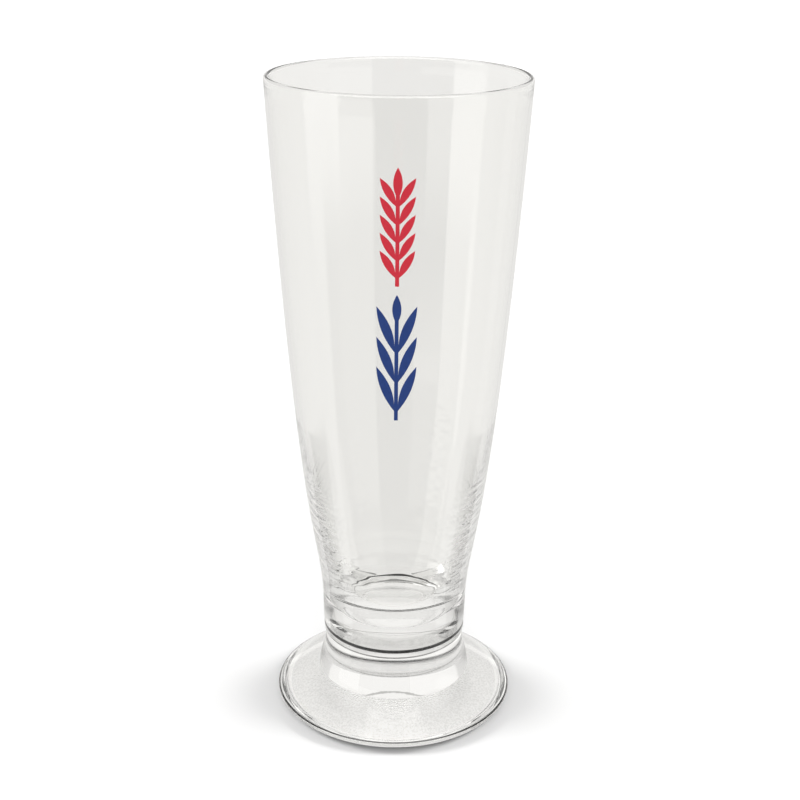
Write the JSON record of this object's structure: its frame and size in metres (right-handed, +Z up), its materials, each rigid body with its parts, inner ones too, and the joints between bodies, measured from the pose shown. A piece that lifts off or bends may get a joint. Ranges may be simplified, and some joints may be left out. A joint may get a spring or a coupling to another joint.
{
  "type": "beer glass",
  "caption": "Tall footed beer glass: flared thin-walled bowl with a heavy clear base, fused to a domed pressed foot, with a red and blue enamel barley print.",
  "frame": {"origin": "centre of the plane that the foot rests on", "axes": "+Z up along the glass's axis, -Y out of the printed front, +X to the right of the print"},
  "size_m": [0.0762, 0.0762, 0.2],
  "materials": {
    "bowl_glass": "clear blown soda-lime glass, fire-polished",
    "foot_glass": "clear pressed soda-lime glass, faintly grained by the mould",
    "red_enamel": "fired ceramic enamel, stands in for printed glass colour",
    "blue_enamel": "fired ceramic enamel, stands in for printed glass colour"
  },
  "bodies": {
    "root": {"bowl": "bowl_glass", "foot": "foot_glass", "red_print": "red_enamel", "blue_print": "blue_enamel"}
  },
  "joints": []
}
